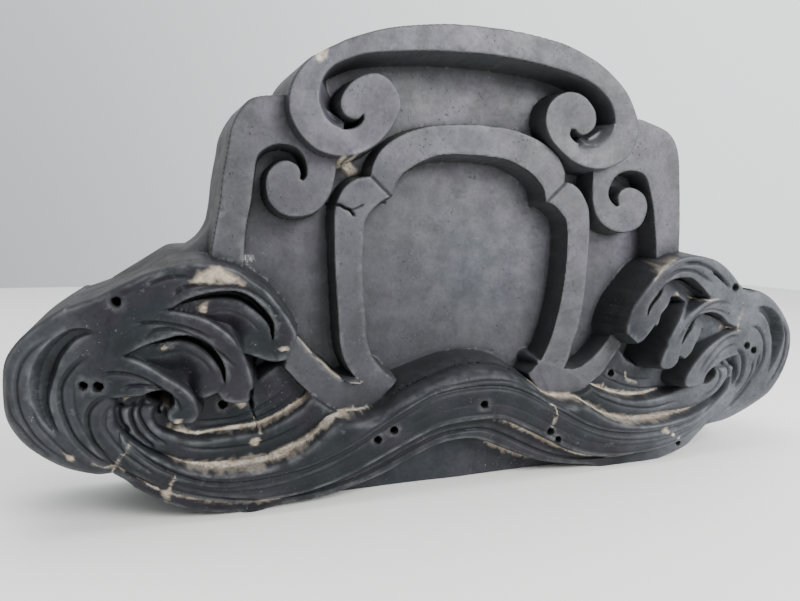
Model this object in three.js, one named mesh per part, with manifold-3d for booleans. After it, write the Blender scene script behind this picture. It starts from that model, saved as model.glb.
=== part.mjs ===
// A ridge-end ornament tile of smoked clay, fired as one piece: a shield with scroll bands and an
// arched frame round a plain panel, standing on clouds that curl up out of a wave.
// Millimetres, +Z up. X runs across the tile, the carved front looks along -Y, and the back is flat
// and hollowed. The origin is at the middle of the tile, on the plane of its underside.

import * as THREE from "three";
import { mergeVertices } from "three/addons/utils/BufferGeometryUtils.js";
import Module from "manifold-3d";

// Overall size of the tile.
const WIDTH = 524;
const HEIGHT = 281.5;

// How far each level of the relief stands out from the back plane.
const WAVE_DEPTH = 80;
const LOW_WAVE_DEPTH = 73;
const CLOUD_DEPTH = 76;
const BAND_DEPTH = 70;
const SHIELD_DEPTH = 60;
const PLATE_DEPTH = 59;
const FIELD_DEPTH = 41.5;
const PANEL_DEPTH = 38;
const LEAF_DEPTH = 61;
const STRAND_DEPTH = 62;
const HOLLOW_STRAND_DEPTH = 52;
const CURL_FLOOR_DEPTH = 51;
const EYE_DEPTH = 44;
const COVE_DEPTH = 34;

// Worn edges: how wide the chamfer round each raised face is.
const CRISP_EDGE = 1.5;
const SOFT_EDGE = 3;

// The hollow in the back: the wall round it, and the clay left behind the face.
const WALL = 24;
const FACE_THICKNESS = 20;

// Grooves and the round vents poked into the thick clay before firing.
const GROOVE_DEPTH = 3;
const GROOVE_WIDTH = 2.4;
const CRESCENT_DEPTH = 9;
const CRESCENT_WIDTH = 6;
const VENT_RADIUS = 2.5;
const VENT_DEPTH = 16;
const VENT_SIDES = 8;

// The carving is drawn in these two sizes and keeps its proportions when the tile's size changes.
const DRAWN_WIDTH = 524;
const DRAWN_HEIGHT = 281.5;

// Curves are drawn through their points with this many steps between two of them.
const STEPS = 2;
// Cutting and trimming bodies run on by this much past what they cut.
const OVERRUN = 8;
// Corners are rounded to this grid, and the hollow's outline follows the tile's this closely.
const GRID = 0.001;
const INSET_TOLERANCE = 0.3;

const wasm = await Module();
wasm.setup();

// Turns a closed three.js geometry into a solid for joining and cutting.
function solidOf(geometry) {
  geometry.deleteAttribute("normal");
  geometry.deleteAttribute("uv");
  const merged = mergeVertices(geometry, 1e-4);
  return new wasm.Manifold(
    new wasm.Mesh({
      numProp: 3,
      vertProperties: new Float32Array(merged.attributes.position.array),
      triVerts: new Uint32Array(merged.index.array),
    }),
  );
}

// A solid's surface with its corners rounded to a fine grid, without the slivers that close up.
function geometryOf(solid) {
  const mesh = solid.getMesh();
  const rounded = mesh.vertProperties.map((value) => Math.round(value / GRID) * GRID);
  const raw = new THREE.BufferGeometry();
  raw.setAttribute("position", new THREE.BufferAttribute(rounded, 3));
  raw.setIndex(new THREE.BufferAttribute(mesh.triVerts, 1));
  const geometry = mergeVertices(raw, GRID / 2);
  const corners = geometry.index.array;
  const kept = [];
  for (let i = 0; i < corners.length; i += 3) {
    const [a, b, c] = corners.slice(i, i + 3);
    if (a !== b && b !== c && c !== a) kept.push(a, b, c);
  }
  geometry.setIndex(kept);
  geometry.computeVertexNormals();
  return geometry;
}

const joined = (solids) => solids.reduce((all, next) => all.add(next));

// A point of the drawing, given as its distance out from the centre line and its height.
// side is -1 for the left half of the tile and 1 for the right half.
function place([out, up], side) {
  return new THREE.Vector2((side * out * WIDTH) / DRAWN_WIDTH, (up * HEIGHT) / DRAWN_HEIGHT);
}

// A smooth stretch of an outline through a few drawn points.
function sweep(points, side, steps = STEPS) {
  const curve = new THREE.SplineCurve(points.map((point) => place(point, side)));
  return curve.getPoints((points.length - 1) * steps);
}

// A straight-sided stretch of an outline.
function straight(points, side) {
  return points.map((point) => place(point, side));
}

// Joins stretches into one outline and leaves out points that repeat.
function outlineOf(...stretches) {
  const all = stretches.flat();
  return all.filter((point, i) => point.distanceTo(all[(i + 1) % all.length]) > 0.05);
}

// The left half of an outline, run on through its mirror image.
function bothHalves(stretchesOf) {
  const left = stretchesOf(-1).flat();
  const right = stretchesOf(1).flat().reverse();
  return outlineOf(left, right);
}

// A flat-faced body whose outline runs from behind the back plane out to depth.
function slab(outline, depth, edge) {
  const geometry = new THREE.ExtrudeGeometry(new THREE.Shape(outline), {
    depth: depth - edge + OVERRUN,
    bevelEnabled: edge > 0,
    bevelThickness: edge,
    bevelSize: edge,
    bevelOffset: -edge,
    bevelSegments: 1,
    curveSegments: 1,
  });
  geometry.translate(0, 0, -OVERRUN);
  geometry.rotateX(Math.PI / 2);
  return solidOf(geometry);
}

// A straight-walled cutting body that spans two depths.
function cutter(outline, fromDepth, toDepth) {
  const geometry = new THREE.ExtrudeGeometry(new THREE.Shape(outline), {
    depth: toDepth - fromDepth,
    bevelEnabled: false,
    curveSegments: 1,
  });
  geometry.translate(0, 0, fromDepth);
  geometry.rotateX(Math.PI / 2);
  return solidOf(geometry);
}

// A groove that follows drawn points, widest in the middle and running out at both ends.
function crescent(points, side, width) {
  const spine = sweep(points, side);
  const last = spine.length - 1;
  const edges = [[], []];
  for (let i = 1; i < last; i++) {
    const along = spine[i + 1].clone().sub(spine[i - 1]).normalize();
    const half = (width / 2) * Math.sin((Math.PI * i) / last) ** 0.6;
    edges[0].push(new THREE.Vector2(spine[i].x - along.y * half, spine[i].y + along.x * half));
    edges[1].push(new THREE.Vector2(spine[i].x + along.y * half, spine[i].y - along.x * half));
  }
  return [spine[0], ...edges[0], spine[last], ...edges[1].reverse()];
}

// A straight-walled cutting body that stays one distance inside an outline.
function insetCutter(outline, distance, fromDepth, toDepth) {
  const area = new wasm.CrossSection([outline.map((point) => [point.x, point.y])], "EvenOdd");
  const inner = area.offset(-distance, "Miter", 2).simplify(INSET_TOLERANCE);
  return inner.extrude(toDepth - fromDepth).translate([0, 0, fromDepth]).rotate([90, 0, 0]);
}

// Drawn points, as distance out from the centre line and height, from the base up or from the
// centre outwards. One list serves both halves.

const CLOUD_UNDERSIDE = [[152, 0], [166, 2], [178, 8.5], [190, 16], [200, 21.5], [208, 26]];
const CLOUD_EDGE = [
  [208, 26], [222, 30], [236, 36.5], [248, 46], [256, 57], [261, 69], [262, 80], [258.5, 92],
  [251, 103], [241, 112], [228, 119.5], [214, 126],
];
const CLOUD_TOP = [[214, 126], [207, 133], [197, 139.5], [185, 144.5], [172, 148], [160, 149]];
const GROUND_TOP = [[100, 74], [70, 60], [30, 66], [0, 70]];
const LOW_HOLLOW_TOP = [[100, 94], [60, 94]];
const SHIELD_SIDE = [
  [160.5, 130], [159.7, 152], [159, 170], [157, 190], [153.5, 210], [147, 225], [136, 233], [121, 236],
];
const FIELD_FOOT = [[100, 40], [150, 100]];
const FIELD_TOP = [[100, 250], [50, 272]];
const SHIELD_COVE = [[157, 182], [159.5, 168], [163.5, 160], [170, 154], [181, 148]];
const COVE_FOOT = [[172, 138], [151, 138]];

const BAND_OUTER = [
  [0, 281.5], [22, 281], [42, 279], [62, 274.5], [81, 267.5], [96, 259.5], [107, 249.5], [114, 237],
  [116, 225], [112, 214], [102, 205.5], [90, 201.5], [78, 202], [66, 207.5], [55, 217.5], [49, 230],
  [51, 240], [58, 247], [68, 249], [78, 245.5], [84.5, 238], [85, 230], [81, 224.5], [75.5, 223.5],
  [72, 226.5], [71, 230],
];
const BAND_INNER = [
  [68, 227], [69.5, 221.5], [76, 217.5], [84, 216.5], [92, 219.5], [97, 227], [98, 235], [94.5, 245],
  [86, 252.5], [71, 258.5], [48, 262.3], [24, 264.7], [0, 265.5],
];

const SIDE_BAND_FOOT = [[150, 120]];
const SIDE_BAND_TOP = [[105, 236], [82, 222]];
const SIDE_BAND_INNER = [
  [141.5, 138], [140, 158], [137, 178], [134, 191], [131, 199], [126, 203.5], [119, 205], [111.5, 203.5],
  [106, 199.5], [103, 193.5], [103, 187.5], [105.5, 184],
];
const SIDE_SCROLL = [
  [111, 181.5], [108, 186], [109, 192], [114, 195.3], [121, 194.3], [127.5, 189.5], [130.5, 181.5],
  [128.5, 173], [122.5, 166.3], [113.5, 163.5], [103.5, 165], [95.5, 170], [90, 179.5], [87.5, 190.5],
];

const ARCH_OUTER = [[66.5, 192.5], [65.5, 199], [61.5, 206.5], [54, 213.5], [42, 219.5], [24, 224.3], [0, 226]];
const ARCH_INNER = [[0, 205], [20, 203.8], [33, 199.7], [43, 193.5], [49, 186], [51, 178]];
const LEG_OUTER = [
  [70.5, 67], [76.5, 74.5], [80.5, 84], [84, 97], [86, 113], [87.5, 135], [88, 155], [87, 172],
  [83.5, 182], [76.5, 189.5], [66.5, 192.5],
];
const LEG_INNER = [
  [51, 178], [57.5, 176], [63, 171.5], [66.5, 164.5], [67.7, 148], [67, 122], [64.5, 100], [60, 85],
  [53.5, 74.5], [45.5, 67],
];
const FOOT_LOWER = [
  [45.5, 67], [50.5, 60.5], [58, 54.5], [66.5, 51], [76, 50.2], [85, 51.5], [94, 56], [102, 62],
  [110, 71], [119, 81.5],
];
const FOOT_UPPER = [[109, 94], [102.5, 85], [95, 77.5], [87.5, 71], [80, 67.5], [70.5, 67]];

const WAVE_CREST = [
  [207, 64], [203.5, 50.5], [191, 38], [172, 28.5], [150, 24.5], [128, 25.5], [108, 29.5], [89, 37],
  [70, 47], [50, 59.5], [30, 69.5], [14, 74], [0, 75],
];
const WAVE_STEP = [
  [0, 43], [15, 42], [32, 37], [50, 28.5], [70, 18.5], [90, 12], [110, 9], [132, 8], [152, 9.5],
  [170, 14.5], [186, 22], [200, 33],
];
const WAVE_FOOT = [[0, 28.5], [14, 27], [30, 21], [46, 13.5], [62, 7.5], [80, 3.5], [100, 0]];
const RIBBON_END = [[213, 46], [216, 62]];
const LOW_RIBBON_TOP = [[192, 32], [150, 20], [90, 24], [30, 48]];
const PLATE = [[0, 0], [112, 0], [112, 16], [0, 50]];

const LOBE_OUTER = [
  [207, 130], [192, 137], [175, 140.5], [160, 141], [149, 139], [136, 131.5], [124, 120], [115, 106],
  [111, 94], [113, 87], [118.5, 84.5],
];
const HOOK_1_INNER = [
  [118.5, 84.5], [124.5, 88], [126.5, 97], [126, 105], [132, 114.5], [141, 122], [150, 124.5],
  [161, 124], [172, 121], [187, 115], [204, 108],
];
const HOOK_2_OUTER = [
  [206, 113], [192, 117], [180, 117.5], [169, 115.5], [158.5, 110], [149.5, 102], [143, 92],
  [139, 81], [137, 71], [139, 66], [144, 64.5],
];
const HOOK_2_INNER = [
  [144, 64.5], [150, 67], [152.5, 75], [154, 83], [159, 91.5], [166.5, 98], [175, 100.5], [184, 100],
  [194, 98], [206, 94],
];
const HOOK_3_OUTER = [
  [222, 91], [213, 93.5], [204.5, 93.5], [195.5, 90], [186.5, 84], [177.5, 77.5], [170, 69.5],
  [167, 62], [168.5, 56.5], [174, 54.5],
];
const HOOK_3_INNER = [[174, 54.5], [180, 58], [182, 65], [187.5, 71], [196, 75.5], [206, 76.5], [216, 74]];
const LEAF_TOP = [[205, 120]];
const LEAF_END = [[206, 80]];
const LOBE_UNDERSIDE = [[118, 87], [135, 87], [141, 76], [144, 67], [160, 67], [170, 60], [181, 60], [190, 70]];
const CURL_1 = [[176, 118], [166, 121], [153, 121.5], [142, 118.5], [133.5, 111], [127.5, 99]];
const CURL_2 = [[191, 98], [181, 99.3], [171, 98.3], [162, 92.8], [156, 84.5], [153.7, 77]];

const CLOUD_INNER = [
  [166, 134], [188, 124], [201, 110], [207, 98], [213, 84], [211, 72], [206.5, 60], [199, 48],
  [187, 38], [176, 28], [168, 16],
];
const STRAND_UPPER = [
  [101, 65], [108, 56], [120, 48.5], [135, 44], [152, 42], [168, 43], [180, 48], [188, 55],
  [190.5, 62], [189, 68],
];
const STRAND_LOWER = [
  [196, 71], [203, 69.5], [208.5, 64], [206.5, 55], [199, 46], [186, 36], [170, 27], [150, 22],
  [128, 22], [108, 26], [92, 36],
];
const SWIRL_EYE = [[191, 70], [187, 65], [184, 61.5], [181, 66], [182, 70.5]];

const OUTER_CURL = [
  [215, 104], [223, 106.5], [232, 103], [240, 94], [244, 82], [243.5, 70], [240, 59], [232, 49],
];
const CLOUD_GROOVES = [
  [[219, 94], [227, 90], [232, 81], [232.5, 70], [229, 57], [220, 44], [208, 33]],
  [[211, 74], [218, 70], [221, 61], [218, 49], [209, 36], [192, 24]],
  [[236, 106], [246, 99], [252, 87], [252.5, 72], [248, 57], [238, 46]],
];
const WAVE_GROOVES = [
  [[3, 62], [24, 59], [46, 48.5], [68, 36.5], [92, 26.5], [120, 21], [150, 19.5], [175, 25]],
];

// Vents, as distance across from the centre line and height. They differ from side to side.
const VENTS = [
  [-205.5, 122.5], [-222.5, 80], [-215.5, 79], [-153.5, 59], [-67, 37], [-57, 42], [2, 53],
  [50, 31], [57, 24], [200, 122], [214, 80], [221, 73], [114, 60],
];

// The outline of the whole tile, as seen from the front.
function tileOutline() {
  return bothHalves((side) => [
    sweep(CLOUD_UNDERSIDE, side),
    sweep(CLOUD_EDGE, side),
    sweep(CLOUD_TOP, side),
    sweep(SHIELD_SIDE.slice(1), side),
    sweep(BAND_OUTER.slice(0, 8).reverse(), side),
  ]);
}

// The shield: a field slab, the top scroll band, the side scroll bands and the arched frame.
function shield() {
  const field = bothHalves((side) => [
    straight(FIELD_FOOT, side),
    sweep(SHIELD_SIDE, side),
    straight(FIELD_TOP, side),
  ]);
  const band = bothHalves((side) => [
    sweep(BAND_INNER, side).reverse(),
    sweep(BAND_OUTER, side).reverse(),
  ]);
  const frame = bothHalves((side) => [
    sweep(ARCH_INNER, side),
    sweep(LEG_INNER, side),
    sweep(FOOT_LOWER, side),
    sweep(FOOT_UPPER, side),
    sweep(LEG_OUTER, side),
    sweep(ARCH_OUTER, side),
  ]);
  const parts = [
    slab(field, FIELD_DEPTH, 0),
    slab(band, BAND_DEPTH, CRISP_EDGE),
    slab(frame, SHIELD_DEPTH, CRISP_EDGE),
  ];
  for (const side of [-1, 1]) {
    const sideBand = outlineOf(
      straight(SIDE_BAND_FOOT, side),
      sweep(SHIELD_SIDE, side),
      straight(SIDE_BAND_TOP, side),
      sweep(SIDE_SCROLL, side).reverse(),
      sweep(SIDE_BAND_INNER, side).reverse(),
    );
    const cove = outlineOf(sweep(SHIELD_COVE, side), straight(COVE_FOOT, side));
    parts.push(slab(sideBand, SHIELD_DEPTH, CRISP_EDGE));
    parts.push(slab(cove, COVE_DEPTH, 0));
  }
  return joined(parts);
}

// The flat panel inside the frame, sunk a little below the shield's fields.
function panelPocket() {
  const outline = bothHalves((side) => [
    sweep(ARCH_INNER, side),
    sweep(LEG_INNER, side),
  ]);
  return cutter(outline, PANEL_DEPTH, SHIELD_DEPTH);
}

// The ground that the clouds and the wave stand on.
function cloudGround() {
  const outline = bothHalves((side) => [
    sweep(CLOUD_UNDERSIDE, side),
    sweep(CLOUD_EDGE, side),
    sweep(CLOUD_TOP, side),
    sweep(LOBE_OUTER.slice(3), side),
    straight(GROUND_TOP, side),
  ]);
  return slab(outline, HOLLOW_STRAND_DEPTH, 0);
}

// The wave: two ribbons that rise over a plain plate in the middle and dip under each cloud.
function wave() {
  const ribbon = bothHalves((side) => [
    sweep(WAVE_STEP, side),
    straight(RIBBON_END, side),
    sweep(WAVE_CREST, side),
  ]);
  const lowRibbon = bothHalves((side) => [
    sweep(WAVE_FOOT, side),
    sweep(CLOUD_UNDERSIDE.slice(0, 4), side),
    straight(LOW_RIBBON_TOP, side),
  ]);
  const plate = bothHalves((side) => [straight(PLATE, side)]);
  return joined([
    slab(ribbon, WAVE_DEPTH, SOFT_EDGE),
    slab(lowRibbon, LOW_WAVE_DEPTH, SOFT_EDGE),
    slab(plate, PLATE_DEPTH, CRISP_EDGE),
  ]);
}

// One cloud: an outer body, three hooked lobes nested in it, and the strand that winds under them.
function cloud(side) {
  const body = outlineOf(
    sweep(CLOUD_UNDERSIDE.slice(2), side),
    sweep(CLOUD_EDGE, side),
    sweep(CLOUD_TOP.slice(0, 5), side),
    sweep(CLOUD_INNER, side),
  );
  const leaves = outlineOf(
    straight(LEAF_TOP, side),
    sweep(LOBE_OUTER.slice(3, 10), side),
    straight(LOBE_UNDERSIDE, side),
    straight(LEAF_END, side),
  );
  const hooks = [
    outlineOf(sweep(LOBE_OUTER, side), sweep(HOOK_1_INNER, side)),
    outlineOf(sweep(HOOK_2_OUTER, side), sweep(HOOK_2_INNER, side)),
    outlineOf(sweep(HOOK_3_OUTER, side), sweep(HOOK_3_INNER, side)),
  ];
  const strand = outlineOf(sweep(STRAND_UPPER, side), sweep(STRAND_LOWER, side));
  return joined([
    slab(body, CLOUD_DEPTH, SOFT_EDGE),
    slab(leaves, LEAF_DEPTH, CRISP_EDGE),
    slab(strand, STRAND_DEPTH, CRISP_EDGE),
    ...hooks.map((hook) => slab(hook, CLOUD_DEPTH, SOFT_EDGE)),
  ]);
}

// The hollows and grooves cut into one cloud and its half of the wave.
function cloudCuts(side) {
  const open = WAVE_DEPTH + OVERRUN;
  const eye = straight(SWIRL_EYE, side);
  return [
    cutter(crescent(CURL_1, side, CRESCENT_WIDTH), CURL_FLOOR_DEPTH, open),
    cutter(crescent(CURL_2, side, CRESCENT_WIDTH), CURL_FLOOR_DEPTH, open),
    cutter(crescent(OUTER_CURL, side, CRESCENT_WIDTH), CLOUD_DEPTH - CRESCENT_DEPTH, open),
    cutter(eye, EYE_DEPTH, open),
    ...CLOUD_GROOVES.map((groove) =>
      cutter(crescent(groove, side, GROOVE_WIDTH), CLOUD_DEPTH - GROOVE_DEPTH, open),
    ),
    ...WAVE_GROOVES.map((groove) =>
      cutter(crescent(groove, side, GROOVE_WIDTH), WAVE_DEPTH - GROOVE_DEPTH, open),
    ),
  ];
}

// One vent, sunk from the level that it opens in.
function vent([across, up]) {
  const centre = place([across, up], 1);
  const ring = Array.from({ length: VENT_SIDES }, (_, i) => {
    const angle = (2 * Math.PI * i) / VENT_SIDES;
    return new THREE.Vector2(
      centre.x + VENT_RADIUS * Math.cos(angle),
      centre.y + VENT_RADIUS * Math.sin(angle),
    );
  });
  return cutter(ring, WAVE_DEPTH - 2 * VENT_DEPTH, WAVE_DEPTH + OVERRUN);
}

// The hollow back: a shallow space behind the shield's fields, deeper behind the clouds.
function hollow() {
  const low = bothHalves((side) => [
    sweep(CLOUD_UNDERSIDE, side),
    sweep(CLOUD_EDGE, side),
    sweep(CLOUD_TOP, side),
    sweep(LOBE_OUTER.slice(3, 9), side),
    straight(LOW_HOLLOW_TOP, side),
  ]);
  return joined([
    insetCutter(tileOutline(), WALL, -OVERRUN, PANEL_DEPTH - FACE_THICKNESS),
    insetCutter(low, WALL, -OVERRUN, CURL_FLOOR_DEPTH - FACE_THICKNESS),
  ]);
}

function behindTheBack() {
  const block = new THREE.BoxGeometry(2 * WIDTH, 2 * WAVE_DEPTH, 2 * HEIGHT);
  block.translate(0, WAVE_DEPTH, HEIGHT / 2);
  return solidOf(block);
}

function tile() {
  const cuts = joined([
    ...cloudCuts(-1),
    ...cloudCuts(1),
    ...VENTS.map(vent),
    hollow(),
    behindTheBack(),
  ]);
  const clay = shield().subtract(panelPocket()).add(cloudGround()).add(wave());
  return clay.add(cloud(-1)).add(cloud(1)).subtract(cuts);
}

const smokedClay = new THREE.MeshStandardMaterial({ color: 0x5c6068, roughness: 0.55, metalness: 0.1 });

const ornament = new THREE.Mesh(geometryOf(tile()), smokedClay);
ornament.name = "ridge_end_tile";
ornament.position.y = WAVE_DEPTH / 2;

const group = new THREE.Group();
group.add(ornament);

export default group;
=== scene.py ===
"""A smoked-clay ridge-end ornament tile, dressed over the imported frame.

The relief is one field: for every point across the tile, how far the clay stands out from the back
plane. Shapes raise it, hollows and grooves cut it, and the field becomes one closed mesh.
Drawing units are millimetres: "out" is the distance from the centre line and "up" the height.
"""

import math

import bpy
import numpy as np
from mathutils import Matrix, Vector


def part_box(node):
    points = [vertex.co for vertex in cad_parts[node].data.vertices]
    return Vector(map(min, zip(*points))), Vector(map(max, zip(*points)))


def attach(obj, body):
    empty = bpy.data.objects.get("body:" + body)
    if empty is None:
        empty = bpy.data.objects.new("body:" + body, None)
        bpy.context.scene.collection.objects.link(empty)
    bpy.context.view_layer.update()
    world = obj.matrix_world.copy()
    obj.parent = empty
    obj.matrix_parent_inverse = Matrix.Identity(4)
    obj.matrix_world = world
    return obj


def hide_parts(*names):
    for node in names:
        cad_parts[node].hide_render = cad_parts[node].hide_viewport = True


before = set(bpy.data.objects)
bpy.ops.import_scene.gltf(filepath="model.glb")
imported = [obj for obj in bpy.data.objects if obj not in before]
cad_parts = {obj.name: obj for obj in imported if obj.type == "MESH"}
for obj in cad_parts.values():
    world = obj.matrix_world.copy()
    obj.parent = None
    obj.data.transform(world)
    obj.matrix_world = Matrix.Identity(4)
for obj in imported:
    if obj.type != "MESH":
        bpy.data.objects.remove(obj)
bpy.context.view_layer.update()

NODE = "ridge_end_tile"
MM = 0.001
LOW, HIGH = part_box(NODE)
HALF_WIDTH = (HIGH[0] - LOW[0]) / 2 / MM
HEIGHT = (HIGH[2] - LOW[2]) / MM
BACK_Y = HIGH[1]

# Levels of the relief, out from the back plane.
WAVE = 79.0
LOW_WAVE = 72.5
CLOUD = 75.5
BAND = 69.5
SHIELD = 60.0
PLATE = 59.0
FIELD = 43.0
PANEL = 39.0
STRAND_B = 65.0
STRAND_A = 54.0
CURL_FLOOR = 60.0
EYE = 40.0
COVE = 46.0
RECESS_FLOOR = 42.0
WAVE_POCKET = 58.0
BEHIND = -6.0

WALL = 24.0
SHALLOW_HOLLOW = 18.0
DEEP_HOLLOW = 31.0

# The grid of the relief, with some room round the tile, and the block that is made from it, which
# reaches past the back plane until it is cut there.
GRID_STEP = 0.55
HOLLOW_STEP = 2.0
SIDE_ROOM = 12
FOOT_ROOM = 5
TOP_ROOM = 7
PAST_BACK = 8.0
MOST_TRIANGLES = 192000
CURVE_STEPS = 6
BLEND_POINTS = 70
WAVES = 9
FAR = 1e9
TINY = 1e-12
SHARP_ANGLE = 48

# Drawn points give the distance out from the centre line and the height above this base line.
LEFT, RIGHT = -1, 1
BASE_LINE = 10.0

# Camera, fitted to the photograph by pairs of points that mirror each other.
CAMERA_AT = (-0.1666, -0.3762, 0.1596)
CAMERA_TURN = (-18.43, -6.42, -0.54)
FOCAL_PIXELS = 615.4
PHOTO_WIDTH = 800
SENSOR = 36.0


def placed(name, data):
    """An object in the scene that shows a mesh, a camera or a light."""
    piece = bpy.data.objects.new(name, data)
    bpy.context.scene.collection.objects.link(piece)
    return piece


def add_camera():
    yaw, pitch, roll = (math.radians(a) for a in CAMERA_TURN)
    turn = Matrix.Rotation(yaw, 3, "Z") @ Matrix.Rotation(pitch, 3, "X") @ Matrix.Rotation(roll, 3, "Y")
    right, forward, up = turn.col
    data = bpy.data.cameras.new("camera")
    data.sensor_width = SENSOR
    data.lens = FOCAL_PIXELS / PHOTO_WIDTH * SENSOR
    camera = placed("camera", data)
    axes = Matrix((right, up, -forward)).transposed()
    camera.matrix_world = Matrix.Translation(CAMERA_AT) @ axes.to_4x4()
    bpy.context.scene.camera = camera


def spline(points):
    """A Catmull-Rom curve through drawn points."""
    p = np.array(points, float)
    p = np.vstack([2 * p[0] - p[1], p, 2 * p[-1] - p[-2]])
    t = np.linspace(0, 1, CURVE_STEPS, endpoint=False)[:, None]
    runs = []
    for a, b, c, d in zip(p, p[1:], p[2:], p[3:]):
        squared, cubed = 2 * a - 5 * b + 4 * c - d, 3 * b - a - 3 * c + d
        runs.append(0.5 * (2 * b + (c - a) * t + squared * t**2 + cubed * t**3))
    return np.vstack(runs + [p[-2:-1]])


def straight(points, side):
    """Drawn points in their place on one half of the tile."""
    return np.array(points, float) * (side, 1) + (0, BASE_LINE)


def draw(points, side):
    """A drawn curve in its place on one half of the tile."""
    return spline(points) * (side, 1) + (0, BASE_LINE)


class Line:
    """A curve drawn twice, because the two halves were carved by hand and differ a little."""

    def __init__(self, left, right, backwards=False):
        self.halves = {LEFT: left, RIGHT: right}
        self.backwards = backwards

    def __getitem__(self, part):
        return Line(self.halves[LEFT][part], self.halves[RIGHT][part], self.backwards)

    def back(self):
        """The same curve, run through from its last point to its first."""
        return Line(self.halves[LEFT], self.halves[RIGHT], True)

    def on(self, side):
        curve = draw(self.halves[side], side)
        return curve[::-1] if self.backwards else curve


def trace(side, *runs):
    """Runs of one half laid end to end: a list of points is straight, and a Line is a curve."""
    return np.vstack([straight(run, side) if isinstance(run, list) else run.on(side) for run in runs])


def both_halves(*runs):
    """An outline that runs through the left half and back through the right one."""
    return np.vstack([trace(LEFT, *runs), trace(RIGHT, *runs)[::-1]])


SHOULDER = Line(
    [(160, 118), (158.5, 136), (156, 150), (153, 165), (151, 180), (148, 195), (146, 205), (141, 215),
     (134, 222), (119, 225)],
    [(164, 118), (163, 140), (162, 160), (161, 175), (159.5, 188), (158, 200), (155, 210), (149, 218),
     (140, 222.5), (124, 227)],
)
BAND_OUTER = Line(
    [(0, 271.3), (20, 270.5), (40, 268), (60, 264), (80, 257), (90, 252), (100, 246.5), (106, 242),
     (112, 234), (115.5, 225), (116, 215), (113, 207), (108, 200), (100, 194), (90, 191.5), (80, 192),
     (70, 196), (62, 202), (55, 211), (51, 220), (52, 228), (57, 235), (63, 238.5), (70, 238.5),
     (78, 235), (84, 229), (87, 222), (85.5, 216), (81, 213), (76, 213), (73, 216)],
    [(0, 271.3), (20, 271), (42, 269), (60, 266), (80, 259), (95, 250), (105, 241), (112, 230),
     (115.5, 220), (114, 210), (108, 200), (100, 195), (90, 191.5), (80, 191.5), (69, 195), (60, 201),
     (52, 208), (47, 216), (46, 222), (48, 230), (54, 236), (62, 239), (70, 238.5), (77, 235), (83, 228),
     (84, 220), (80, 214.5), (74, 213), (70, 216)],
)
BAND_INNER = Line(
    [(73, 213.5), (75, 210.5), (79, 208), (86, 207), (93, 210), (97, 216), (99, 223), (97, 232),
     (91, 240), (82, 245), (70, 249), (50, 252), (30, 254), (0, 255.3)],
    [(67, 216.5), (66.5, 213), (68.5, 210), (73, 207.5), (80, 206), (88, 208), (94, 213), (97, 221),
     (95, 230), (90, 237), (80, 244), (65, 249), (40, 252.8), (20, 254.6), (0, 255.3)],
)
SIDE_BAND_INNER = Line(
    [(141, 118), (140.5, 131), (139, 150), (136, 165), (134, 180), (132, 190), (127, 195), (120, 197.5),
     (112, 196.5), (107, 192), (105, 186), (105, 181), (107, 178)],
    [(143, 118), (142, 140), (140, 155), (137, 170), (134, 180), (131, 187), (127, 190.5), (120, 192),
     (112, 191), (105, 187), (101, 180), (100.5, 175), (103, 171), (107, 168)],
)
SIDE_SCROLL = Line(
    [(108.5, 179), (108, 182), (110, 186.5), (116, 189), (122, 187), (127, 181), (128, 173), (126, 165),
     (120, 159), (112, 157), (103, 158.5), (97, 162), (93, 167), (90, 173), (88, 181), (87, 190)],
    [(109, 168.5), (108, 171), (107.5, 175), (110.5, 179), (116, 181), (123, 180), (130, 176), (133, 169),
     (132, 162), (128, 155), (120, 151), (112, 150), (104, 151.5), (96, 156), (91, 162), (88, 170),
     (87, 180), (87, 190)],
)
ARCH_OUTER = Line(
    [(67, 182), (66, 188), (62, 196), (56, 202), (48, 207), (38, 211), (25, 214), (0, 216)],
    [(66, 183), (66, 189), (62, 197), (55, 203.5), (46, 208.5), (36, 212), (22, 215), (0, 216)],
)
ARCH_INNER = Line(
    [(0, 195), (20, 194), (30, 191), (38, 187), (45, 182), (49, 176), (51, 168)],
    [(0, 195), (20, 193.5), (31, 190), (39, 186), (45, 181), (49, 175.5), (50, 168)],
)
LEG_OUTER = Line(
    [(71, 57.5), (75, 60), (80, 66), (84, 75), (86, 85), (87, 100), (88, 115), (89, 135), (89, 160),
     (86, 170), (82, 176), (76, 180), (67, 182)],
    [(71, 57.5), (74, 63), (77, 73), (81, 85), (84, 100), (86, 120), (87, 140), (86, 163), (83, 171),
     (78, 178), (72, 182), (66, 183)],
)
LEG_INNER = Line(
    [(51, 168), (57, 166), (62, 162), (66, 157), (68, 150), (68.5, 120), (67, 100), (66, 85), (63, 75),
     (58, 68), (53, 63), (48, 60)],
    [(50, 168), (57, 166), (63, 161), (67, 154), (67.3, 130), (65, 110), (62, 95), (58, 80), (52, 67),
     (46, 60.5), (42, 57)],
)
FOOT_LOWER = Line(
    [(48, 60), (51, 55), (58, 48), (66, 43), (75, 41), (84, 41), (92, 44), (100, 50), (108, 57),
     (115, 65), (120, 71)],
    [(42, 57), (45, 52), (50, 46), (58, 41), (66, 39.5), (76, 39.5), (86, 42), (95, 47), (103, 53),
     (110, 62), (118, 72)],
)
FOOT_UPPER = Line(
    [(112, 89), (103, 78), (95, 70), (88, 63), (80, 58), (71, 57.5)],
    [(108, 80), (102, 72), (95, 65), (87, 59.5), (80, 57), (71, 57.5)],
)
UNDER_FOOT = [(112, 72), (103, 64), (92, 55), (80, 49), (60, 50)]
UNDERSIDE = Line(
    [(100, -16), (145, -10), (160, -8.5), (170, -6), (178, -3), (186, 1), (192, 5), (200, 11), (205, 16),
     (211, 20.5)],
    [(100, -16), (145, -10.5), (155, -8), (165, -5), (172, -1), (178, 4), (184, 9)],
)
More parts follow.
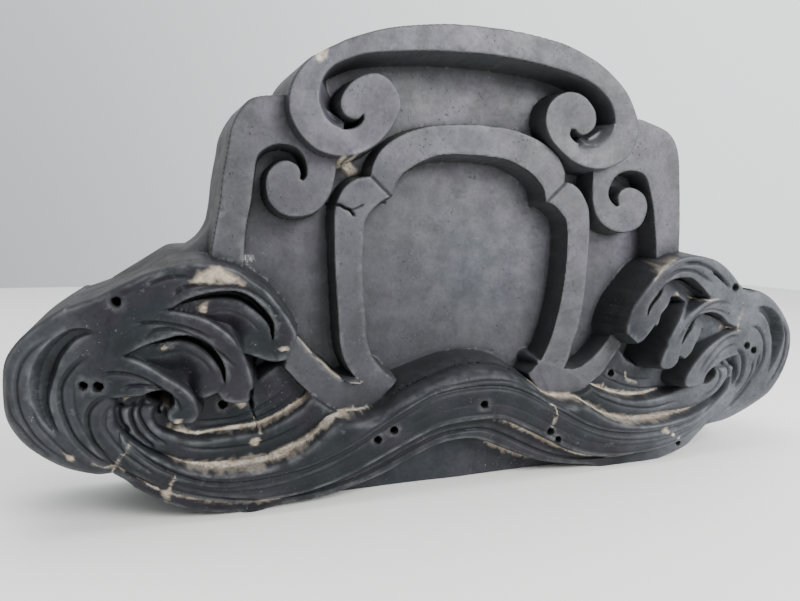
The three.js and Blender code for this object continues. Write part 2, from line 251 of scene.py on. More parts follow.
CLOUD_EDGE = Line(
    [(211, 20.5), (220, 21), (235, 27), (248, 37), (255, 46), (259, 56), (259.5, 70), (258, 83),
     (253, 92), (246, 99), (238, 105), (229, 111)],
    [(184, 9), (190, 10.5), (205, 13), (220, 18), (233, 24), (243, 30), (250, 38), (256, 47), (260, 58),
     (261.5, 68), (260, 78), (256, 86), (249, 95), (240, 103), (230, 108), (221, 110)],
)
CLOUD_TOP = Line(
    [(229, 110), (222, 112.5), (214, 115.5), (207, 119), (199, 123), (190, 127), (180, 130), (168, 132)],
    [(221, 109), (213, 110), (206, 117), (197, 125), (188, 130.5), (178, 133.5), (165, 135.5)],
)
COVE_EDGE = Line(
    [(154, 168), (156.5, 158), (160, 150), (165, 143.5), (172, 138.5), (182, 134)],
    [(160, 162), (162.5, 154), (166, 148), (172, 143.5), (180, 139), (190, 133)],
)
LOBE_1_OUTER = Line(
    [(180, 130), (168, 132), (158, 131.5), (150, 130), (143, 127), (137, 122), (130, 117), (124, 110),
     (119, 103), (115, 96), (113, 90), (113.5, 83), (116, 79), (120, 77)],
    [(178, 132), (165, 134.5), (150, 133), (135, 125), (125, 115), (115, 103), (110, 93), (108, 85),
     (109, 79), (113, 75.5), (118, 74.5)],
)
LOBE_1_FOOT = Line(
    [(120, 77), (126, 76.5), (132, 78), (139, 81)],
    [(118, 74.5), (122.5, 76.5), (128, 82), (132, 87)],
)
LOBE_2_OUTER = Line(
    [(208, 106), (200, 106.5), (185, 107.5), (172, 105.5), (160, 101), (150, 93), (143, 83), (139, 72),
     (137, 62), (138, 57), (141, 54.5)],
    [(205, 106), (195, 108), (185, 107), (175, 103), (165, 97), (158, 91.5), (152, 85), (143, 72),
     (138, 60), (139.5, 56.5), (144, 55)],
)
LOBE_2_FOOT = Line(
    [(141, 54.5), (148, 54.5), (154, 56.5), (157, 61)],
    [(144, 55), (149, 56), (153, 59.5), (154.5, 64)],
)
LOBE_3_OUTER = Line(
    [(220, 82), (213, 84), (205, 84.5), (197, 81.5), (190, 77.5), (183, 72), (176, 67), (170, 61),
     (167, 54), (167, 49), (170, 45.5), (175, 45)],
    [(215, 84), (205, 81), (197, 79), (190, 76), (182, 71.5), (175, 66), (170, 61), (165, 55), (161, 49),
     (160, 44), (163, 41), (168, 41)],
)
LOBE_3_INNER = Line(
    [(175, 45), (180, 46), (183, 49), (183, 54), (186, 58.5), (191, 62), (199, 62), (210, 62)],
    [(168, 41), (174, 42), (179, 44.5), (181, 48.5), (185, 53), (190, 57), (198, 60), (208, 62)],
)
CURL_1 = Line(
    [(178, 108.5), (170, 112), (160, 114), (150, 114.5), (143, 113), (137, 109), (131, 103), (127.5, 97),
     (127, 89)],
    [(178, 105), (170, 111.5), (160, 117.5), (150, 117.5), (141, 114.5), (133, 107), (127, 100),
     (125, 94)],
)
CURL_2 = Line(
    [(194, 88.5), (182, 91), (175, 92), (168, 90), (162, 86), (157, 80), (154, 74), (153, 67)],
    [(196, 86), (188, 91), (180, 93), (172, 91.5), (165, 87), (159, 80), (155.5, 73)],
)
RECESS = {
    LEFT: [(124, 78), (137, 81), (140, 72), (137, 65), (130, 69), (124, 73)],
    RIGHT: [(122, 77), (128, 82), (142, 70), (138, 58), (130, 61), (124, 68)],
}
WAVE_TOP = Line(
    [(220, 62), (208.5, 56), (207.5, 48), (203, 41.5), (195, 34), (185, 27), (175, 21.5), (160, 17.5),
     (140, 17), (130, 18.5), (120, 21.5), (110, 26), (101, 32.5), (93, 38.5), (84, 40.5), (75, 40.5),
     (66, 42), (58, 46), (51, 51), (46, 53.5), (41, 55.5), (32, 58.5), (22, 62), (11, 65), (0, 66)],
    [(220, 60), (209, 54), (206, 47), (200, 40), (192, 33), (180, 26), (168, 22), (155, 20.5), (140, 19),
     (125, 19), (110, 21.5), (97, 26), (85, 33), (76, 38), (66, 38.5), (58, 40), (50, 44), (45, 48.5),
     (40, 52), (32, 57), (22, 62.5), (12, 65.3), (0, 66)],
)
WAVE_CREST = Line(
    [(208, 50), (203, 40), (190, 27), (170, 17), (150, 14), (130, 15), (110, 18), (90, 25), (70, 36),
     (50, 48), (30, 57), (5, 60.5)],
    [(205, 44), (190, 31), (172, 22), (155, 18.5), (140, 17), (125, 16.5), (110, 18), (95, 21), (80, 27),
     (65, 36), (50, 45), (35, 53.5), (20, 59), (5, 60.5)],
)
WAVE_STEP = Line(
    [(0, 33), (15, 32.5), (30, 30), (50, 22), (70, 13), (90, 5), (110, 0), (130, -2), (150, -1), (170, 4),
     (185, 10), (200, 20)],
    [(0, 33), (10, 33), (20, 30), (30, 25.5), (50, 15), (65, 7), (80, 1.5), (100, -2), (120, -2),
     (140, 0), (158, 4), (175, 11)],
)
WAVE_FOOT = Line(
    [(0, 18.5), (10, 19.3), (25, 17.5), (45, 10), (60, 3), (80, -3), (100, -7), (130, -9.5), (140, -16)],
    [(0, 18.5), (12, 14), (30, 5.5), (50, -2), (70, -6), (90, -9.5), (105, -16)],
)
STRAND_AB = Line(
    [(60, 62), (80, 60), (94, 57), (103, 52.5), (108, 46.5), (115, 42), (125, 37), (135, 34), (150, 32.5),
     (165, 32.5), (172, 34), (178, 37), (182, 39.5), (186, 42), (189, 45), (190.5, 50), (189, 56)],
    [(50, 64), (70, 57), (82, 50), (95, 42), (110, 36), (125, 32), (140, 31.5), (155, 34), (168, 40),
     (174, 46), (177, 52)],
)
CREASES = {
    LEFT: [
        ([(190, 121), (186, 123), (178, 125), (168, 125)], 0.9, 1.3),
        ([(178, 116), (173, 119), (166, 120.5), (158, 120.5)], 0.9, 1.6),
        ([(167, 117.5), (158, 119), (150, 119), (140, 117), (130, 110), (125, 103)], 0.9, 1.0),
        ([(162, 104), (156, 106.5), (148, 105.5), (140, 101), (134, 94)], 0.8, 0.7),
        ([(198, 100.5), (190, 101.3), (180, 100), (170, 97), (160, 92)], 0.9, 1.5),
        ([(193, 94), (188, 97), (180, 97.5), (172, 95), (163, 90), (155, 83), (147, 75)], 0.9, 1.4),
        ([(186, 84), (178, 86), (171, 84), (164, 79), (160, 73)], 0.8, 0.7),
        ([(215, 74.5), (210, 75.8), (203, 75), (197, 73), (190, 69), (182, 63)], 0.9, 1.4),
        ([(204.5, 66.5), (201, 68), (196, 68), (190, 67), (185, 65), (181, 62), (178, 58),
         (176, 53)], 1.0, 1.8),
        ([(192, 62), (195, 59), (197, 54), (196, 49), (193, 43), (189, 38), (184, 34)], 0.9, 1.8),
        ([(199.5, 58), (201, 53), (200, 47), (198, 42), (194, 37), (190, 33)], 1.1, 2.4),
        ([(205, 58), (207, 55), (206, 48), (202, 42.5)], 1.5, 3.2),
        ([(170, 43), (165, 41), (158, 40), (148, 40), (138, 43), (126, 49), (116, 56)], 0.8, 0.9),
        ([(172, 37.5), (158, 36), (146, 36.5), (134, 39), (122, 44), (112, 51)], 0.8, 0.7),
        ([(180, 33), (165, 27.5), (150, 26), (132, 27.5), (118, 32), (106, 38)], 0.9, 0.8),
        ([(236, 96), (243, 91), (249, 84), (252, 74), (252, 64), (250, 55), (245, 45), (238, 37),
         (228, 29)], 0.9, 1.3),
        ([(256.5, 68), (255.5, 58), (251, 50), (245, 41), (238, 34)], 0.9, 1.1),
        ([(246, 62), (244, 53), (239, 45), (232, 36), (224, 29)], 0.8, 0.8),
        ([(219, 86), (226, 81), (232, 72), (233, 62), (231, 52), (227, 42), (220, 33), (213, 27),
         (206, 22)], 1.2, 2.0),
        ([(226, 74), (227, 65), (226, 55), (222, 45), (215, 35), (207, 27)], 0.8, 0.7),
        ([(210, 64), (217, 61), (221, 55), (221, 47), (218, 38), (213, 30), (206, 23), (198, 17),
         (188, 11)], 1.2, 1.9),
        ([(209, 59), (213, 53), (213, 46), (208, 37), (200, 28), (190, 20)], 0.9, 1.0),
        ([(190, 17), (170, 9), (150, 5.5), (130, 5.5), (110, 9), (90, 15.5), (72, 24)], 0.8, 0.7),
        ([(180, 14), (160, 8.5), (140, 8), (120, 10), (100, 15)], 0.8, 0.8),
    ],
    RIGHT: [
        ([(191, 115), (180, 124), (166, 129.5), (152, 129)], 1.2, 2.2),
        ([(196, 111), (187, 119), (179, 123)], 1.1, 2.2),
        ([(180, 115), (170, 121), (160, 124.5), (148, 124), (136, 117)], 1.1, 1.8),
        ([(199, 99), (190, 101.5), (181, 100.5), (170, 95), (158, 84), (150, 72)], 1.0, 1.2),
        ([(196, 92), (188, 95.5), (178, 96.5), (168, 92.5), (158, 82.5)], 0.8, 0.9),
        ([(207, 76), (200, 76), (190, 71), (180, 62), (172, 51)], 1.0, 1.3),
        ([(204, 70), (198, 69), (190, 64.5), (182, 57), (176, 49)], 1.0, 1.2),
        ([(206, 67), (212, 62), (214, 54), (212, 45), (205, 36)], 1.3, 2.4),
        ([(202, 61), (208, 54), (208, 46), (202, 36)], 1.2, 2.4),
        ([(197, 58), (202, 52), (202, 45), (196, 36), (186, 28)], 1.1, 2.0),
        ([(189, 55), (194, 50), (194, 44), (189, 37), (180, 31)], 0.9, 1.2),
        ([(228, 62), (226, 51), (218, 38), (209, 29), (198, 21)], 1.1, 2.0),
        ([(217, 83), (225, 81), (231, 72), (232, 60), (229, 52), (222, 41)], 1.1, 1.8),
        ([(222, 58), (221, 48), (214, 37), (204, 28)], 0.9, 1.4),
        ([(247, 87), (252, 75), (251, 60), (245, 47), (236, 37)], 1.0, 1.5),
        ([(256, 70), (254, 56), (246, 44)], 0.8, 0.8),
        ([(160, 38), (148, 36.5), (134, 38), (118, 43), (102, 51)], 0.8, 0.8),
        ([(150, 43.5), (138, 44), (124, 48), (110, 55)], 0.8, 0.7),
        ([(165, 30), (150, 26), (134, 25.5), (116, 29), (100, 35), (88, 42)], 0.9, 0.9),
        ([(165, 14), (145, 9), (122, 8), (100, 10.5), (80, 17), (62, 26)], 0.8, 0.7),
    ],
}
OUTER_CURL = Line(
    [(213, 93), (217, 97), (222, 97.3), (228, 95), (235, 88), (239.5, 79), (241.5, 70), (241.5, 62),
     (239, 54), (235, 46), (230, 38)],
    [(218, 94), (225, 95.5), (233, 92.5), (240, 85), (243.5, 75), (242.5, 62), (237, 50), (228, 38)],
)
# Vents poked into the raised clay, as distance across and height above the base line.
VENTS = [
    (-205.5, 112.5, 2.3), (-222.5, 70, 1.9), (-215.5, 69, 2.4), (-153.5, 49, 2.3), (-67, 27, 2.0),
    (-57, 32, 2.2), (2, 43, 2.2), (50, 21, 2.2), (56, 15, 1.8), (200, 112, 2.3), (215, 69, 2.2),
    (222, 65, 2.2), (114, 50, 2.4), (160, 0, 1.4),
]
VENT_SIZE = 0.87
VENT_DEPTH = 14
PLUGGED_VENT = (-144, 49)


def evenly(curve):
    """A curve picked at evenly spaced shares of its points."""
    at = np.linspace(0, 1, BLEND_POINTS)
    shares = np.linspace(0, 1, len(curve))
    return np.column_stack([np.interp(at, shares, curve[:, k]) for k in (0, 1)])


def blend_curves(first, second, share):
    """A curve that runs a share of the way from one curve to another."""
    return evenly(first) * (1 - share) + evenly(second) * share


def smooth_max(a, b, k):
    """The higher of two fields, with the corner between them filled over a height k."""
    h = np.clip(k - np.abs(a - b), 0, k) / k
    return np.maximum(a, b) + h * h * k / 4


def smooth_min(a, b, k):
    return -smooth_max(-a, -b, k)


def fading(t, ends, power=1):
    """1 along a curve, running out to 0 over a share of it at both ends."""
    return np.clip(np.minimum(t, 1 - t) / ends, 0, 1) ** power


def ease(value, start, end):
    """0 before start, 1 after end and a smooth rise between them."""
    t = np.clip((value - start) / (end - start), 0, 1)
    return t * t * (3 - 2 * t)


def bump(x, z, at, radius):
    """1 at a place, falling softly to 0 about two radii from it."""
    return np.exp(-((x - at[0]) ** 2 + (z - at[1]) ** 2) / radius**2)


def wavy(x, z, size, seed):
    """Soft unevenness of hand-worked clay, about -1 to 1."""
    dice = np.random.default_rng(seed)
    total = np.zeros(x.shape)
    for _ in range(WAVES):
        angle, phase = dice.uniform(0, 2 * math.pi, 2)
        pitch = size * dice.uniform(0.7, 1.6)
        total += np.sin((x * math.cos(angle) + z * math.sin(angle)) * 2 * math.pi / pitch + phase)
    return total / math.sqrt(2.2 * WAVES)


def nearest_on(curve, u, v):
    """How far points are from a curve, and how far along it the nearest place is, 0 to 1."""
    nearest = np.full(u.shape, FAR)
    along = np.zeros(u.shape)
    last = len(curve) - 1
    for i in range(last):
        (ax, ay), (bx, by) = curve[i], curve[i + 1]
        dx, dy = bx - ax, by - ay
        t = np.clip(((u - ax) * dx + (v - ay) * dy) / max(dx * dx + dy * dy, TINY), 0, 1)
        d = (u - ax - t * dx) ** 2 + (v - ay - t * dy) ** 2
        closer = d < nearest
        nearest = np.where(closer, d, nearest)
        along = np.where(closer, (i + t) / last, along)
    return np.sqrt(nearest), along


class Relief:
    """How far the clay stands out from the back plane, over a grid across the tile."""

    def __init__(self, step):
        self.step = step
        self.x = np.arange(-HALF_WIDTH - SIDE_ROOM, HALF_WIDTH + SIDE_ROOM + step, step)
        self.z = np.arange(-FOOT_ROOM, HEIGHT + TOP_ROOM + step, step)
        self.X, self.Z = np.meshgrid(self.x, self.z)
        self.depth = np.full(self.X.shape, BEHIND)
        self.marks = {}

    def cells(self, size):
        """A length in millimetres as a number of grid cells."""
        return max(1, round(size / self.step))

    def at(self, part):
        """Distance across and height of the places in a part of the grid."""
        return self.X[part], self.Z[part]

    def near(self, points, margin):
        """The part of the grid that holds some points and a margin round them."""
        low, high = points.min(axis=0) - margin, points.max(axis=0) + margin
        i = np.searchsorted(self.z, (low[1], high[1]))
        j = np.searchsorted(self.x, (low[0], high[0]))
        return slice(*i), slice(*j)

    def inside(self, outline, margin=9):
        """Signed distance to an outline, positive inside it, over the part of the grid near it."""
        part = self.near(outline, margin)
        u, v = self.at(part)
        nearest = np.full(u.shape, FAR)
        odd = np.zeros(u.shape, bool)
        for (ax, ay), (bx, by) in zip(outline, np.roll(outline, -1, axis=0)):
            dx, dy = bx - ax, by - ay
            length = dx * dx + dy * dy
            if length < TINY:
                continue
            t = np.clip(((u - ax) * dx + (v - ay) * dy) / length, 0, 1)
            nearest = np.minimum(nearest, (u - ax - t * dx) ** 2 + (v - ay - t * dy) ** 2)
            if dy:
                odd ^= ((ay > v) != (by > v)) & (u < dx * (v - ay) / dy + ax)
        distance = np.sqrt(nearest)
        return part, np.where(odd, distance, -distance)

    def raise_to(self, outline, level, edge=1.2, slope=14.0, blend=1.2, margin=9, fall=None):
        """Builds clay up to a level inside an outline, with a rounded edge and a steep wall.

        level is a number or a function of x and z, and fall is how far the rounding drops."""
        part, d = self.inside(outline, margin)
        top = level(*self.at(part)) if callable(level) else level
        fall = edge if fall is None else fall
        rounding = 1 - np.sqrt(np.maximum(1 - (np.clip(edge - d, 0, edge) / edge) ** 2, 0))
        height = top - np.where(d > 0, fall * rounding, fall - d * slope)
        self.depth[part] = smooth_max(self.depth[part], height, blend)

    def cut_to(self, outline, floor, slope=12.0, blend=1.2):
        """Takes clay away down to a floor inside an outline."""
        part, d = self.inside(outline)
        bottom = floor(*self.at(part)) if callable(floor) else floor
        self.depth[part] = smooth_min(self.depth[part], bottom + np.maximum(-d, 0) * slope, blend)

    def beside(self, curve, margin):
        """The part of the grid near a curve, with the distance from it and the place along it."""
        part = self.near(curve, margin)
        return (part, *nearest_on(curve, *self.at(part)))

    def groove(self, curve, width, deep, ends=0.15):
        """Presses a round-bottomed line into the clay, running out towards both ends."""
        part, d, t = self.beside(curve, 3 * width)
        press = fading(t, ends, 0.7)
        self.depth[part] -= deep * press * np.exp(-((d / width) ** 2))
        # Painted shade along the groove.
        self.mark("crease", part, 0.8 * press * np.exp(-((d / width) ** 2)))

    def crescent(self, curve, width, floor, slope=11, ends=0.4):
        """Cuts a flat-bottomed crescent down to a floor."""
        part, d, t = self.beside(curve, width + 8)
        share = fading(t, ends, 0.6)
        bottom = floor + np.maximum(d - share * width / 2, 0) * slope + (1 - share) * 14
        self.depth[part] = smooth_min(self.depth[part], bottom, 0.8)
        # Painted shade in the crescent.
        self.mark("crease", part, 0.6 * ease(width / 2 + 0.6 - d, 0, 1.5) * share)

    def lean(self, curve, level, slope, reach):
        """Leans clay on the field against a wall along a curve, running out towards both ends."""
        part, d, t = self.beside(curve, reach)
        share = fading(t, 0.18)
        leaning = smooth_max(self.depth[part], level - slope * d - 24 * (1 - share), 1.5)
        self.depth[part] = np.where(self.depth[part] > FIELD - 3, leaning, self.depth[part])

    def mark(self, name, part, strength):
        """Keeps the strongest of the marks of one kind that are laid over each other."""
        layer = self.marks.setdefault(name, np.zeros(self.X.shape))
        layer[part] = np.maximum(layer[part], strength)

    def streak(self, name, curve, width, strength, ends=0.1, rough=0.5, seed=1):
        """A mark along a curve with a broken, uneven edge."""
        part, d, t = self.beside(curve, 3 * width)
        x, z = self.at(part)
        uneven = wavy(x, z, 5, seed) + wavy(x, z, 19, seed + 1)
        reach = width * (1 + rough * uneven) * fading(t, ends, 0.6)
        self.mark(name, part, strength * ease(reach - d, -0.25 * width, 0.45 * width))

    def spot(self, name, at, radius, rough=0.4, seed=1):
        """A round mark with an uneven edge."""
        at = np.array(at, float) + (0, BASE_LINE)
        part = self.near(at[None], 2.5 * radius)
        x, z = self.at(part)
        reach = radius * (1 + rough * wavy(x, z, 2.2 * radius, seed))
        self.mark(name, part, ease(reach - np.hypot(x - at[0], z - at[1]), -0.3 * radius, 0.4 * radius))

    def vent(self, x, z, radius, deep):
        """A hole poked into the clay with a stick."""
        part = self.near(np.array([(x, z)]), 2 * radius)
        u, v = self.X[part] - x, self.Z[part] - z
        r = np.hypot(u, v)
        r = r * (1 + 0.04 * np.sin(3 * np.arctan2(v, u) + x))
        floor = np.median(self.depth[part]) - deep + np.maximum(r - radius * 0.85, 0) * deep * 1.4
        self.depth[part] = smooth_min(self.depth[part], floor, 0.6)
        # Painted shade in the hole.
        self.mark("crease", part, 0.8 * ease(radius * 1.1 - r, 0, 0.6))

    def sample(self, layer, x, z):
        """Values of a layer at any points, between the grid's own."""
        u = np.clip((x - self.x[0]) / self.step, 0, len(self.x) - 1.001)
        v = np.clip((z - self.z[0]) / self.step, 0, len(self.z) - 1.001)
        i, j = v.astype(int), u.astype(int)
        a, b = v - i, u - j
        return (
            (layer[i, j] * (1 - b) + layer[i, j + 1] * b) * (1 - a)
            + (layer[i + 1, j] * (1 - b) + layer[i + 1, j + 1] * b) * a
        )


def blurred(layer, radius):
    """A layer averaged over a square about twice the radius wide, three times over."""
    window = 2 * radius + 1
    for _ in range(3):
        for axis in (0, 1):
            room = [(radius + 1, radius) if k == axis else (0, 0) for k in (0, 1)]
            total = np.cumsum(np.pad(layer, room, "edge"), axis)
            ahead = np.take(total, range(window, total.shape[axis]), axis)
            behind = np.take(total, range(0, total.shape[axis] - window), axis)
            layer = (ahead - behind) / window
    return layer


def field_level(x, z):
    """The shield's ground, raised where it runs under the right-hand scroll."""
    return FIELD + 6 * bump(x, z, (52, 232), 26) + 3 * bump(x, z, (-105, 140), 30)


def band_level(x, z):
    """The top band's face, which sinks a little into both scrolls."""
    return BAND - 6 * bump(x, z, (66, 224), 30) - 2.5 * bump(x, z, (-72, 224), 26)


def carve_shield(r):
    field = both_halves([(20, 50), (150, 50)], SHOULDER, [(100, 238), (50, 260)])
    r.raise_to(field, field_level, edge=1.0, slope=16)
    for side in (LEFT, RIGHT):
        cove = trace(side, COVE_EDGE, [(186, 122), (150, 122), (146, 160)])
        r.raise_to(cove, COVE, edge=12, slope=12, blend=9, fall=16)
        shoulder = [(105, 226), (82, 212)]
        side_band = trace(side, SHOULDER, shoulder, SIDE_SCROLL.back(), SIDE_BAND_INNER.back())
        r.raise_to(side_band, SHIELD, edge=0.9, slope=12, blend=0.8)
    frame_outline = both_halves(ARCH_INNER, LEG_INNER, FOOT_LOWER, FOOT_UPPER, LEG_OUTER, ARCH_OUTER)
    r.raise_to(frame_outline, SHIELD, edge=1.0, slope=12, blend=0.8)
    band = both_halves(BAND_INNER.back(), BAND_OUTER.back())
    r.raise_to(band, band_level, edge=1.0, slope=13, blend=0.8)
    for side in (LEFT, RIGHT):
        r.lean(BAND_INNER[2:9].on(side), BAND - 1.5, slope=2.0, reach=14)
    panel = both_halves(ARCH_INNER, LEG_INNER, [(30, 40)])
    r.cut_to(panel, lambda x, z: PANEL + x / 20 + 1.2 * bump(x, z, (0, 130), 40), slope=9)
    for side in (LEFT, RIGHT):
        mitre = straight([(50.5, 167), (59, 175), (67, 182.5)], side)
        r.groove(mitre, 0.8, 1.5, ends=0.05)


def leaf_level(side):
    """The leaf in each lobe: level with the lobe along its slit and at its rounded end, else lower."""
    if side == LEFT:
        tails, beside_slit, round_tail = ((128, 84), (148, 63)), (7, 19), (13, 25)
        drop, root_drop = 8, 5
    else:
        tails, beside_slit, round_tail = ((121, 83), (146, 63)), (10.5, 15), (12, 18)
        drop, root_drop = 18, 12
    slits = CURL_1.on(side), CURL_2.on(side)

    def level(x, z):
        slit = np.minimum(*(nearest_on(curve, x, z)[0] for curve in slits))
        tail = np.min([np.hypot(x - side * out, z - up - BASE_LINE) for out, up in tails], axis=0)
        fall = drop * ease(slit, *beside_slit) * ease(tail, *round_tail) + root_drop * ease(tail, 25, 50)
        return CLOUD - 0.2 - fall
    return level


def body_level(x, z):
    """A cloud's outer body, which comes down to the wave's lower ribbon at its foot."""
    return CLOUD - 3.4 * ease(200 - np.abs(x), 0, 40) * ease(34 - z, 0, 14)


def strand_level(x, z):
    """The strands rise towards the tile's ends, where they run into the clouds."""
    return STRAND_B + 8 * ease(np.abs(x), 150, 196)


def carve_clouds(r):
    ground = both_halves([(60, -16)], UNDERSIDE, CLOUD_EDGE, CLOUD_TOP, LOBE_1_OUTER[1:], UNDER_FOOT)
    r.raise_to(ground, lambda x, z: STRAND_A + 15 * ease(np.abs(x), 150, 196), edge=2.5, slope=16)
    for side in (LEFT, RIGHT):
        r.cut_to(straight(RECESS[side], side), RECESS_FLOOR, slope=3, blend=3)
        body = trace(
            side, UNDERSIDE[1:], CLOUD_EDGE, CLOUD_TOP,
            [(150, 128), (172, 116), (196, 108), (204, 84), (206, 66)], WAVE_TOP[1:9],
        )
        r.raise_to(body, body_level, edge=8, slope=18, blend=2.5, margin=14, fall=7)
        leaves = trace(
            side, [(200, 112)], LOBE_1_OUTER[1:], LOBE_1_FOOT, [(143, 82), (143, 60)], LOBE_2_FOOT,
            [(170, 56), (190, 66), (206, 72)],
        )
        r.raise_to(leaves, leaf_level(side), edge=1.8, slope=7)
        strand = trace(side, STRAND_AB, WAVE_TOP[1:16], [(60, 40)])
        r.raise_to(strand, strand_level, edge=4, slope=4, blend=2, fall=3)
        for lobe in (
            trace(side, [(212, 98), (208, 112)], LOBE_1_OUTER, LOBE_1_FOOT, CURL_1.back()),
            trace(side, LOBE_2_OUTER, LOBE_2_FOOT, CURL_2.back(), [(214, 78)]),
            trace(side, LOBE_3_OUTER, LOBE_3_INNER, [(220, 66)]),
        ):
            r.raise_to(lobe, CLOUD, edge=2.2, slope=7, fall=1.8)
        r.crescent(CURL_1.on(side), 2.2 if side == LEFT else 0.8, CURL_FLOOR)
        r.crescent(CURL_2.on(side), 1.8 if side == LEFT else 0.6, CURL_FLOOR)
        r.crescent(OUTER_CURL.on(side), 4.6 if side == LEFT else 6.5, CLOUD - 9, slope=2.5, ends=0.5)
    swirl = [(191, 60.4), (187.5, 61.3), (184.2, 60.3), (182.6, 58.2), (184.3, 57.3), (188, 58.6)]
    r.cut_to(draw(swirl, LEFT), EYE, slope=10, blend=1.5)
    pocket = [(188, 52), (184, 50), (181, 46), (183, 44.5), (187, 48)]
    r.cut_to(draw(pocket, RIGHT), WAVE_POCKET, slope=5, blend=2)


def foot_outline(side):
    return trace(side, LEG_INNER[6:], FOOT_LOWER, FOOT_UPPER, LEG_OUTER[:5])


def wave_level(x, z):
    """The wave stands furthest out in the middle and settles into the clouds at both ends."""
    return WAVE - 3.5 * ease(np.abs(x), 140, 200)


def carve_wave(r):
    plate = both_halves([(0, -16), (112, -16), (112, 6), (0, 40)])
    r.raise_to(plate, PLATE, edge=1, slope=20)
    low_ribbon = both_halves(WAVE_FOOT, UNDERSIDE[1:], [(192, 22), (150, 10), (90, 14), (30, 38)])
    r.raise_to(low_ribbon, LOW_WAVE, edge=3.5, slope=9, fall=2.5)
    ribbon = both_halves(WAVE_STEP, [(205, 30)], WAVE_TOP[2:])
    contact = both_halves(WAVE_TOP[1:])

    def level(x, z):
        d, _ = nearest_on(contact[::2], x, z)
        roll = 3.5 + 4.0 * np.exp(-(((x + 5) / 88) ** 4))
        drop = (1 - np.sqrt(np.maximum(1 - (np.clip(roll - d, 0, roll) / roll) ** 2, 0))) * 2.2 * roll
        return wave_level(x, z) - drop
    r.raise_to(ribbon, level, edge=2.0, slope=8, blend=2, fall=1.6)
    for side in (LEFT, RIGHT):
        r.cut_to(foot_outline(side), SHIELD, slope=7, blend=1)


# Combed lines along the wave: how far down from its crest to its step, how wide and how deep.
WAVE_COMBS = ((0.1, 0.8, 0.7), (0.22, 0.8, 1.3), (0.28, 0.7, 0.9), (0.62, 0.7, 0.35), (0.86, 0.8, 0.6))


def carve_lines(r):
    """Combed lines that follow the lobes, the strands and the wave."""
    for side in (LEFT, RIGHT):
        for points, width, deep in CREASES[side]:
            r.groove(draw(points, side), width, deep)
    crest = both_halves(WAVE_CREST)
    step = both_halves(WAVE_STEP.back())
    foot = both_halves(WAVE_FOOT[:-1].back())
    for share, width, deep in WAVE_COMBS:
        r.groove(blend_curves(crest, step, share), width, deep, ends=0.08)
    r.groove(blend_curves(step, foot, 0.55), 1.0, 1.6, ends=0.08)
    r.groove(blend_curves(step, foot, 0.3), 0.8, 0.6, ends=0.15)


# Damage and dirt: firing cracks, cracks filled with pale dust, and spots of dust, of bare clay where
# the smoke was rubbed off, and of a pale scuff.
CRACKS = [
    ([(134, 78), (135, 73), (136, 68), (137, 62), (139, 59), (138, 50), (137, 44)], LEFT, 0.9, 7.0),
    ([(137, 44), (136, 39), (134, 34)], LEFT, 0.5, 1.5),
    ([(91, 166), (86, 164.5), (80, 162), (77, 158)], LEFT, 0.7, 3.5),
    ([(80, 162), (75, 163), (71, 165)], LEFT, 0.5, 1.2),
    ([(185, 56), (188, 53), (187, 50)], LEFT, 0.7, 4.0),
]
PALE_CRACKS = [
    ([(180, 18), (183, 10), (185, 1), (187, -4)], LEFT),
    ([(201, 37), (205, 31), (209, 26), (212, 20)], LEFT),
    ([(204, 22), (209, 25), (215, 26), (220, 29)], LEFT),
    ([(136, 40), (134.5, 36), (133, 32)], LEFT),
    ([(50, 22), (53, 30), (54, 36), (49, 40)], RIGHT),
    ([(207, 78), (205, 88), (209, 96), (206, 104)], RIGHT),
]
SPOTS = [
    ((-163, 107), 2.2, "bare"), ((-184, 87), 1.4, "bare"), ((-184, 8), 2.6, "bare"),
    ((-137, 29), 2.4, "dust"), ((-77, 187), 4.2, "dust"), ((-84, 189), 2.2, "dust"),
    ((-98, 246), 3.6, "dust"), ((70, 185), 2.6, "dust"), ((-203.5, 62), 1.2, "bare"),
    ((-178, 46), 1.6, "bare"), ((-184, 57), 2.4, "bare"), ((-137, 133), 3.0, "scuff"),
    ((160, 3), 1.5, "dust"), ((150, 9), 1.2, "dust"), ((143, 12.5), 2.4, "bare"),
    ((155, 6), 1.0, "dust"), ((158, 106.5), 1.8, "dust"), ((-230, 33), 1.6, "bare"),
    ((-121, 84), 1.0, "dust"),
]
DUST_STREAKS = [
    ([(186, 104), (178, 103), (171, 104), (168, 106)], 0.45, 0.9, 63),
    ([(208, 80), (203, 82), (197, 82.5), (191, 83.5)], 0.45, 0.8, 65),
    ([(136, 42), (128, 44.5), (124, 53)], 0.6, 0.7, 66),
]
BARE_PATCH = [(170, 121), (166, 125.5), (161, 129), (157, 130.5), (151, 129), (145, 124.5), (141, 121)]


def jagged(points, side, amount, size, seed):
    """A drawn crack with the unevenness of torn clay."""
    curve = draw(points, side)
    return curve + amount * np.column_stack([wavy(*curve.T, size, seed + k) for k in (0, 1)])


